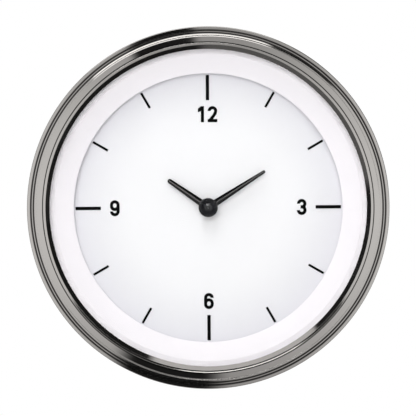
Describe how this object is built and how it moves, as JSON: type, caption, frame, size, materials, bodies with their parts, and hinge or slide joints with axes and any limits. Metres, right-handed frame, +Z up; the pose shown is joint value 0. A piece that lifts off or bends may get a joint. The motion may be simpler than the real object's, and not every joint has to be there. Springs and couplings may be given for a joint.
{
  "type": "car dashboard clock",
  "caption": "Round panel clock with a stepped bright bezel, white funnel ring and dial, black ridged hands, a stepping quartz movement and a rear clamp bracket.",
  "frame": {"origin": "on the clock's axis, in the plane where the bezel's rear lip seats on the dashboard panel", "axes": "+Y along the barrel to the rear, so the face looks along -Y; +X to the right of the face; +Z up through the twelve"},
  "size_m": [0.0856, 0.0614, 0.0856],
  "materials": {
    "zinc_steel": "zinc plated, satin",
    "polished_bezel": "polished stainless",
    "clear_glass": "flat clear glass",
    "black_rubber": "matt",
    "white_plastic": "satin white",
    "white_paint": "satin white paint",
    "black_ink": "printed black",
    "black_lacquer": "semi-gloss black",
    "black_plastic": "satin black",
    "ivory_plastic": "natural nylon",
    "brown_phenolic": "phenolic",
    "green_board": "solder mask",
    "blue_sleeve": "shrink sleeve",
    "brass": "turned brass",
    "copper_wire": "enamelled copper wire",
    "bright_steel": "bright steel",
    "soft_iron": "dull grey",
    "bulb_glass": "clear glass"
  },
  "bodies": {
    "case": {"case_can": "zinc_steel", "case_flange": "zinc_steel", "bezel": "polished_bezel", "lens": "clear_glass", "lens_gasket": "black_rubber", "trim_ring": "white_plastic", "dial": "white_paint", "dial_feet": "brass", "hour_marks": "black_ink", "numerals": "black_ink", "front_plate": "brass", "back_plate": "brass", "plate_pillars": "brass", "plate_screws": "bright_steel", "centre_bushes": "brass", "case_standoffs": "brass", "case_screws": "bright_steel", "stator": "soft_iron", "coil_core": "soft_iron", "coil_bobbin": "ivory_plastic", "coil_winding": "copper_wire", "stator_spacers": "brass", "stator_screws": "bright_steel", "circuit_board": "green_board", "driver_chip": "black_plastic", "quartz_crystal": "bright_steel", "capacitor": "blue_sleeve", "terminal_studs": "brass", "terminal_insulators": "brown_phenolic", "terminal_nuts": "brass", "bracket_studs": "bright_steel", "shaft_bush": "ivory_plastic"},
    "minute_arbor": {"centre_arbor": "bright_steel", "centre_wheel": "brass", "friction_spring": "brass", "cannon_pinion": "brass", "minute_hand": "black_lacquer", "hand_cap": "black_lacquer"},
    "hour_pipe": {"hour_wheel": "brass", "hour_hand": "black_lacquer"},
    "setting_arbor": {"minute_wheel": "ivory_plastic", "setting_shaft": "bright_steel", "setting_knob": "black_plastic"},
    "third_wheel_set": {"third_arbor": "bright_steel", "third_wheel": "brass"},
    "rotor": {"rotor_arbor": "bright_steel", "rotor_magnet": "soft_iron"},
    "lamp": {"lamp_holder": "zinc_steel", "lamp_bulb": "bulb_glass"},
    "bracket": {"clamp_bracket": "zinc_steel"},
    "nut_left": {"thumb_nut_left": "brass"},
    "nut_right": {"thumb_nut_right": "brass"}
  },
  "joints": [
    {"name": "minute_hand_turn", "type": "hinge", "parent": "case", "child": "minute_arbor", "pos_m": [0, 0, 0], "axis": [0, 1, 0], "continuous": true},
    {"name": "hour_hand_turn", "type": "hinge", "parent": "case", "child": "hour_pipe", "pos_m": [0, 0, 0], "axis": [0, 1, 0], "continuous": true},
    {"name": "setting_knob_turn", "type": "hinge", "parent": "case", "child": "setting_arbor", "pos_m": [0, 0, -0.0135], "axis": [0, 1, 0], "continuous": true},
    {"name": "third_wheel_turn", "type": "hinge", "parent": "case", "child": "third_wheel_set", "pos_m": [0.01057, 0, 0.00385], "axis": [0, 1, 0], "continuous": true},
    {"name": "rotor_turn", "type": "hinge", "parent": "case", "child": "rotor", "pos_m": [0.0091, 0, 0.01222], "axis": [0, 1, 0], "continuous": true},
    {"name": "lamp_pull", "type": "slide", "parent": "case", "child": "lamp", "axis": [0, 1, 0], "range_m": [0, 0.02]},
    {"name": "nut_left_turn", "type": "hinge", "parent": "bracket", "child": "nut_left", "pos_m": [-0.027, 0, 0], "axis": [0, 1, 0], "range_deg": [0, 4630]},
    {"name": "bracket_slide", "type": "slide", "parent": "case", "child": "bracket", "axis": [0, 1, 0], "range_m": [0, 0.009]},
    {"name": "nut_right_turn", "type": "hinge", "parent": "bracket", "child": "nut_right", "pos_m": [0.027, 0, 0], "axis": [0, 1, 0], "range_deg": [0, 4630]}
  ],
  "couplings": [
    {"joint": "hour_hand_turn", "follows": "minute_hand_turn", "ratio": 0.083333},
    {"joint": "setting_knob_turn", "follows": "minute_hand_turn", "ratio": -0.33333},
    {"joint": "third_wheel_turn", "follows": "minute_hand_turn", "ratio": -8},
    {"joint": "rotor_turn", "follows": "minute_hand_turn", "ratio": 60},
    {"joint": "nut_left_turn", "follows": "bracket_slide", "rad_per_m": 8976},
    {"joint": "nut_right_turn", "follows": "bracket_slide", "rad_per_m": 8976}
  ]
}
